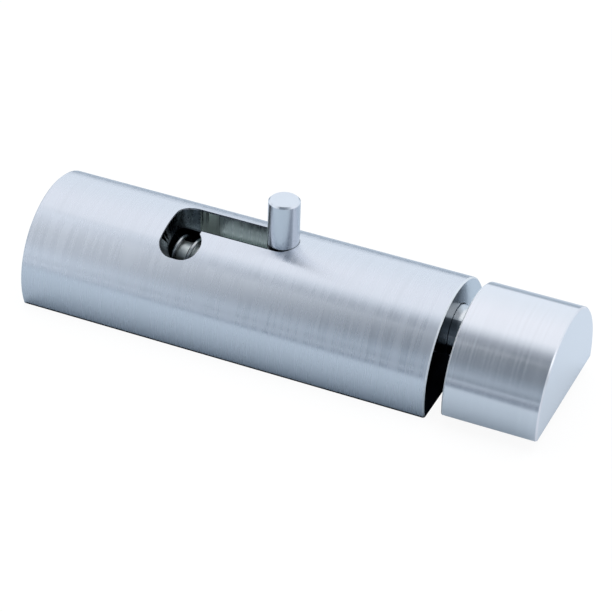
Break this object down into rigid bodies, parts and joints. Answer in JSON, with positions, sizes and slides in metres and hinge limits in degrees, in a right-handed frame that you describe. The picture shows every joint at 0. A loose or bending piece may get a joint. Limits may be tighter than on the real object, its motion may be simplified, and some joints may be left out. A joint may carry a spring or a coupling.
{
  "type": "slide bolt",
  "caption": "Surface-mounted slide bolt in D-section bar: a sprung round bolt drawn back by a pin in a J-shaped slot, and its keeper.",
  "frame": {"origin": "middle of the body's flat mounting face", "axes": "+X along the bolt, from the body towards the keeper; +Y to the back; +Z away from the door, square to the mounting face"},
  "size_m": [0.087, 0.025, 0.024],
  "materials": {
    "body_steel": "fine brushed round the bar",
    "keeper_steel": "fine brushed round the bar",
    "rod_steel": "ground",
    "pin_steel": "turned and satin polished",
    "spring_steel": "drawn wire"
  },
  "bodies": {
    "housing": {"body": "body_steel", "keeper": "keeper_steel", "return_spring": "spring_steel"},
    "bolt": {"bolt_rod": "rod_steel", "handle_pin": "pin_steel"}
  },
  "joints": [
    {"name": "bolt_slide", "type": "slide", "parent": "housing", "child": "bolt", "axis": [-1, 0, 0], "range_m": [0, 0.0158], "stiffness_N_per_m": 1400, "springref_m": -0.004, "deforming": ["return_spring"]}
  ]
}
